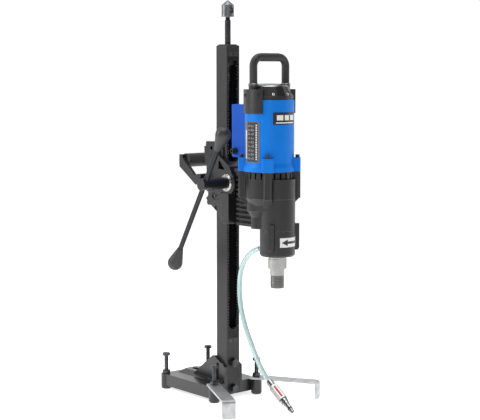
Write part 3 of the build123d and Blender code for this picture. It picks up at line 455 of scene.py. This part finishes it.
hoseSet = {
    "diameter": 0.012,
    "length": 0.400,
    "route": [(118.0, 0.0, 380.0), (84.4, 0.0, 370.4), (50.0, 0.0, 328.0), (43.0, 0.0, 283.0),
              (46.0, 0.0, 240.0), (63.8, -3.2, 193.0), (109.8, -14.3, 138.6), (162.7, -29.8, 91.0),
              (188.0, -29.8, 73.3)],  # mm, from the column's axis on the floor
}


def softVinyl():
    # clear vinyl with an aqua tint: milky, glossy, light passes through
    mat, bsdf = newMaterial("softVinyl", IOR=1.45, Roughness=0.2, Transmission_Weight=0.3,
                            Subsurface_Weight=0.2, Subsurface_Scale=0.003)
    place = placeCoordinates(mat)
    cloud = addNode(mat, "TexNoise", {"Vector": place, "Scale": grains(25), "Detail": 3.0}).outputs["Fac"]
    body = mixColour(mat, cloud, linear("#cde9ea"), linear("#def3f3"))
    rim = addNode(mat, "LayerWeight", {"Blend": 0.35}).outputs["Facing"]
    wall = addNode(mat, "MapRange", {"Value": rim, "From Min": 0.35, "From Max": 0.9, "To Min": 0.0,
                                     "To Max": 0.75}).outputs["Result"]
    join(mat, mixColour(mat, wall, body, linear("#6fa6ac")), bsdf.inputs["Base Color"])
    return mat


def makeHose(h):
    points = [Vector((columnAxis.x + mm(x), columnAxis.y + mm(y), mm(z))) for x, y, z in h["route"]]
    curve = bpy.data.curves.new("waterHose", "CURVE")
    curve.dimensions = "3D"
    spline = curve.splines.new("NURBS")
    spline.points.add(len(points) - 1)
    for point, place in zip(spline.points, points):
        point.co = (*place, 1)
    spline.order_u = 3
    spline.use_endpoint_u = True
    spline.resolution_u = 16
    curve.bevel_depth = h["diameter"] / 2
    curve.bevel_resolution = 6
    curve.use_fill_caps = True
    finish["softVinyl"] = softVinyl()
    curve.materials.append(finish["softVinyl"])
    hose = bpy.data.objects.new("waterHose", curve)
    scene.collection.objects.link(hose)
    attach(hose, "carriage")
    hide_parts("water_hose")
    tail = [nodes[n] for n in ("hose_ferrule", "coupler_body", "coupler_nipple", "coupler_o_ring")]
    return hose, points, tail


hose, hosePoints, hoseTail = makeHose(hoseSet)
print("hose laid")


stageSet = {
    "paperGlow": 0.74,
    "floorHalf": 12,  # m
    "floorDrop": 0.0005,  # keeps the feet clear of the paper
    "bright": 1.06,  # behind the rig
    "dim": 0.05,  # the room on the near side, which the metal and paint reflect
    "fade": (-0.92, -0.1),  # how far round the light falls off
    "nearSide": (0.7615, -0.648, 0.1),
    "lamps": [  # name, place, aim, size, watts
        ("keyLight", (-1.5, -2.3, 1.9), (0.05, 0, 0.5), (0.9, 2.2), 52),
        ("sideLight", (1.3, 2.4, 1.3), (0.15, 0, 0.5), (0.8, 2.0), 9),
        ("frontLight", (2.5, -1.9, 1.5), (0.05, 0, 0.5), (0.5, 0.9), 7),
        ("topLight", (0.2, -0.2, 3.2), (0.05, 0, 0.3), (2.4, 2.4), 55),
    ],
}


def whitePaper(glow):
    # seamless white paper: matt, lit evenly, with broad faint clouds
    mat, bsdf = newMaterial("whitePaper", Roughness=0.7, Emission_Strength=glow)
    place = placeCoordinates(mat)
    cloud = addNode(mat, "TexNoise", {"Vector": place, "Scale": 1.5}).outputs["Fac"]
    join(mat, mixColour(mat, cloud, linear("#f6f6f6"), linear("#fafafa")), bsdf.inputs["Base Color"])
    bsdf.inputs["Emission Color"].default_value = (1, 1, 1, 1)
    return mat


# White behind the rig, falling to a dim room on the near side
def makeWorld(w):
    world = bpy.data.worlds.new("studio")
    world.use_nodes = True
    tree = world.node_tree
    place = tree.nodes.new("ShaderNodeTexCoord")
    dot = tree.nodes.new("ShaderNodeVectorMath")
    dot.operation = "DOT_PRODUCT"
    dot.inputs[1].default_value = w["nearSide"]
    fade = tree.nodes.new("ShaderNodeMapRange")
    fade.interpolation_type = "SMOOTHSTEP"
    fade.inputs["From Min"].default_value, fade.inputs["From Max"].default_value = w["fade"]
    fade.inputs["To Min"].default_value = w["bright"]
    fade.inputs["To Max"].default_value = w["dim"]
    tree.links.new(place.outputs["Generated"], dot.inputs[0])
    tree.links.new(dot.outputs["Value"], fade.inputs["Value"])
    tree.links.new(fade.outputs["Result"], tree.nodes["Background"].inputs["Strength"])
    tree.nodes["Background"].inputs["Color"].default_value = (1, 1, 1, 1)
    scene.world = world


def makeStage(stage):
    half = stage["floorHalf"]
    mesh = bpy.data.meshes.new("floor")
    mesh.from_pydata([(-half, -half, 0), (half, -half, 0), (half, half, 0), (-half, half, 0)], [],
                     [(0, 1, 2, 3)])
    mesh.materials.append(whitePaper(stage["paperGlow"]))
    floor = bpy.data.objects.new("floor", mesh)
    floor.location.z = -stage["floorDrop"]
    scene.collection.objects.link(floor)
    makeWorld(stage)
    for name, eye, aim, size, power in stage["lamps"]:
        data = bpy.data.lights.new(name, "AREA")
        data.shape = "RECTANGLE"
        data.size, data.size_y = size
        data.energy = power
        lamp = bpy.data.objects.new(name, data)
        lamp.location = eye
        lamp.rotation_euler = (Vector(aim) - Vector(eye)).to_track_quat("-Z", "Y").to_euler()
        scene.collection.objects.link(lamp)
    scene.view_settings.view_transform = "Standard"


makeStage(stageSet)
print("stage lit")


# Ridges in mm. Metric and inch pitches are real; heights are what the shanks leave room for.
spindleThreadSet = {"radius": 15.9, "pitch": 3.63, "height": 0.55, "from": 1, "length": 28}
jackThreadSet = {"radius": 7.0, "pitch": 2.0, "height": 0.35, "from": 30, "plain": 78}
footThreadSet = {"radius": 4.95, "pitch": 1.5, "height": 0.2, "from": 44, "length": 39}


def makeThreads():
    t = spindleThreadSet
    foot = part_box("spindle")[0][2]
    start = (spindleAxis.x, spindleAxis.y, foot + mm(t["from"]))
    addPiece("spindleThread", *threadRidge(start, t["length"], t), "threadSteel", "spindle",
             "turned_steel")
    t = jackThreadSet
    low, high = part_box("jack_screw")
    start = (columnAxis.x, columnAxis.y, low[2] + mm(t["from"]))
    length = 1000 * (high[2] - low[2]) - t["plain"]
    addPiece("jackThread", *threadRidge(start, length, t), "blackOxide", "jack", "turned_steel")
    t = footThreadSet
    for side in ("front_left", "front_right", "rear_left", "rear_right"):
        place = middle("levelling_bolt_" + side)
        start = (place.x, place.y, mm(t["from"]))
        addPiece("footThread_" + side, *threadRidge(start, t["length"], t), "blackOxide",
                 "foot_bolt_" + side, "black_oxide")


makeThreads()
print("threads cut")


# Patches are bearings from and to in degrees, then heights from and to in mm
frontPlateSet = {
    "radius": 58.8,
    "film": 0.15,
    "bars": [(-27, 27, 681, 683.5), (-25, -9, 688, 700), (-5, 8, 688, 700), (12, 28, 688, 700)],
}
ratingPlateSet = {
    "radius": 58.6,
    "panels": [(-102, -70, 592, 683), (-114, -111.5, 592, 683)],
    "panelFilm": 0.12,
    "whiteBar": (-110, -104.5, 598, 664),
    "whiteFilm": 0.2,
    "printRadius": 58.72,  # print lies on the dark panels
    "printFilm": 0.1,
    "ticks": {"count": 15, "low": 596, "step": 5.6, "high": 3.8, "span": (-74.5, -71.5)},
    "lines": {"count": 4, "turn": -99.5, "step": 5.6, "wide": 1.6},
    "words": {"count": 9, "low": 597, "step": 9.4, "high": 5.5},  # plain dashes of uneven length
}
arrowSet = {
    "radius": 41.5,
    "ground": (-34, 42, 394, 416),
    "groundFilm": 0.25,
    "shaft": (-10, 36, 402.2, 407.8),
    "film": 0.15,
    "head": {"count": 7, "turn": -28, "step": 3, "wide": 3.05, "centre": 405, "tip": 0.6, "grow": 1.1},
}


def makeFrontPlate(p):
    bars = [patchBand(motorAxis, p["radius"], p["film"], *bar) for bar in p["bars"]]
    addParts("frontPlateBars", bars, "whiteInk", "carriage", "plate_silver", smooth=False)


def makeRatingPlate(p):
    dark = [patchBand(motorAxis, p["radius"], p["panelFilm"], *panel) for panel in p["panels"]]
    addParts("ratingPlateDark", dark, "plateDark", "carriage", "plate_black", smooth=False)
    white = [patchBand(motorAxis, p["radius"], p["whiteFilm"], *p["whiteBar"])]
    ticks, lines, words = p["ticks"], p["lines"], p["words"]
    for k in range(ticks["count"]):
        z = ticks["low"] + ticks["step"] * k
        white.append(patchBand(motorAxis, p["printRadius"], p["printFilm"], *ticks["span"], z,
                               z + ticks["high"]))
    addParts("ratingPlateWhite", white, "whiteInk", "carriage", "plate_silver", smooth=False)
    fine = []
    for k in range(lines["count"]):
        a = lines["turn"] + lines["step"] * k
        for n in range(words["count"]):
            z = words["low"] + words["step"] * n
            fine.append(patchBand(motorAxis, p["printRadius"], p["printFilm"], a, a + lines["wide"], z,
                                  z + words["high"] - (k + n) % 3))
    addParts("ratingPlateFine", fine, "greyInk", "carriage", "plate_silver", smooth=False)


def makeArrow(p):
    addParts("arrowGround", [patchBand(spindleAxis, p["radius"], p["groundFilm"], *p["ground"])],
             "whiteInk", "carriage", "plate_silver", smooth=False)
    face = p["radius"] + p["groundFilm"]
    mark = [patchBand(spindleAxis, face, p["film"], *p["shaft"])]
    head = p["head"]
    for k in range(head["count"]):
        a = head["turn"] + head["step"] * k
        half = head["grow"] * k + head["tip"]
        mark.append(patchBand(spindleAxis, face, p["film"], a, a + head["wide"], head["centre"] - half,
                              head["centre"] + half))
    addParts("arrowMark", mark, "blackInk", "carriage", "plate_black", smooth=False)


makeFrontPlate(frontPlateSet)
makeRatingPlate(ratingPlateSet)
makeArrow(arrowSet)
print("labels laid")


ridgeSet = {
    "radii": (13.6, 15.4, 17.2, 19.0),
    "half": 0.7,
    "high": 0.7,
    "count": 48,
}


# Round ridges on the outer faces of both bushes
def makeRidges(p):
    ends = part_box("pinion_bushes")
    centre = middle("pinion_shaft")
    section = ((-p["half"], 0), (0, p["high"]), (p["half"], 0))
    parts = []
    for end, side in zip(ends, (-1, 1)):
        start = Vector((centre.x, end[1], centre.z))
        for r in p["radii"]:
            loops = []
            for k in range(p["count"]):
                a = 2 * pi * k / p["count"]
                out = Vector((cos(a), 0, sin(a)))
                loops.append([start + out * mm(r + dr) + Vector((0, side * mm(h), 0)) for dr, h in section])
            loops.append(loops[0])
            parts.append(skin(loops, ends=False))
    addParts("bushRidges", parts, "ridgedRing", "carriage", "ring_steel")


makeRidges(ridgeSet)


handleRibSet = {
    "barRadius": 9.2,
    "ribs": range(-4, 5),
    "step": 6.5,
    "profile": [(0, 9.1), (0.5, 9.6), (1.5, 10.0), (2.5, 9.6), (3, 9.1)],
}


def makeHandleRibs(p):
    centre = middle("carry_handle")
    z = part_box("carry_handle")[1][2] - mm(p["barRadius"])
    wide = p["profile"][-1][0]
    parts = [turnedPart((centre.x, centre.y + mm(p["step"] * k - wide / 2), z), (0, 1, 0), p["profile"])
             for k in p["ribs"]]
    addParts("handleRibs", parts, "gripRubber", "carriage", "grip_black")


makeHandleRibs(handleRibSet)


couplerSet = {
    "flat": 10,  # half the hexagon, across its flats
    "stripe": {"turn": 60, "span": (20, 54), "half": 2.6, "thick": 0.15},
    "mark": {"turn": 0, "span": (34, 44), "half": 3.0, "thick": 0.12},
    "bandFrom": 58.2,
    "band": [(0, 8.4), (0.2, 8.75), (1.4, 8.75), (1.6, 8.4)],
}


# The coupler's start, then its axis, sideways, and up across it
def couplerFrame():
    along = (hosePoints[-1] - hosePoints[-2]).normalized()
    side = Vector((0, -1, 0))
    up = along.cross(side).normalized()
    return hosePoints[-1], along, side, up if up.z > 0 else -up


# A thin strip lying on one flat of the coupler's hexagon
def hexStrip(p, flat):
    start, along, side, up = couplerFrame()
    out = side * cos(radians(p["turn"])) + up * sin(radians(p["turn"]))
    half = out.cross(along) * mm(p["half"])
    lift = out * mm(p["thick"])
    loops = []
    for s in p["span"]:
        base = start + along * mm(s) + out * mm(flat)
        loops.append([base - half, base + half, base + half + lift, base - half + lift])
    return skin(loops)


def makeCouplerDetail(p):
    start, along = couplerFrame()[:2]
    addParts("couplerStripe", [hexStrip(p["stripe"], p["flat"])], "redInk", "carriage",
             "coupler_chrome", smooth=False)
    addParts("couplerMark", [hexStrip(p["mark"], p["flat"])], "greyInk", "carriage", "coupler_chrome",
             smooth=False)
    band = turnedPart(start + along * mm(p["bandFrom"]), along, p["band"])
    addParts("couplerBand", [band], "nitrile", "carriage", "seal_rubber")


makeCouplerDetail(couplerSet)


capSet = {
    "legRadius": 9.2,
    "lugFrom": 0.2,  # above the cap
    "lug": [(0, 9.3), (0, 12), (5, 12), (6.5, 10.6), (6.5, 9.3)],
    "screwTurns": (-78, -32, 12, 148, 196),
    "screwRing": 50.5,
    "screwFrom": 18,  # above the cap's lower edge
    "screwLean": 0.55,
    "screw": [(0, 3.4), (2.2, 3.4), (2.8, 2.8), (2.8, 1.6), (1.6, 1.2), (1.6, 0.1)],
    "discSunk": 1.5,
    "disc": [(0, 43), (2.2, 42), (4.6, 38), (6.6, 31), (7.7, 22), (8.2, 12), (8.3, 0.5)],
}


# Lugs where the handle's legs enter the cap, the cap's screws, and the domed disc on top
def makeCapDetail(p):
    low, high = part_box("top_cap")
    legLow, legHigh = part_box("carry_handle")
    upright = (0, 0, 1)
    lugs = [turnedPart((motorAxis.x, y, high[2] + mm(p["lugFrom"])), upright, p["lug"])
            for y in (legLow[1] + mm(p["legRadius"]), legHigh[1] - mm(p["legRadius"]))]
    addParts("handleLugs", lugs, "capAlloy", "carriage", "cap_black")
    screws = []
    for turn in p["screwTurns"]:
        t = radians(turn)
        place = Vector((motorAxis.x + mm(p["screwRing"]) * cos(t), motorAxis.y + mm(p["screwRing"]) * sin(t),
                        low[2] + mm(p["screwFrom"])))
        screws.append(turnedPart(place, (cos(t), sin(t), p["screwLean"]), p["screw"]))
    addParts("capScrews", screws, "zincScrew", "carriage", "zinc")
    disc = turnedPart((motorAxis.x, motorAxis.y, high[2] - mm(p["discSunk"])), upright, p["disc"])
    addParts("capDisc", [disc], "capAlloy", "carriage", "cap_black")


makeCapDetail(capSet)
print("small detail made")
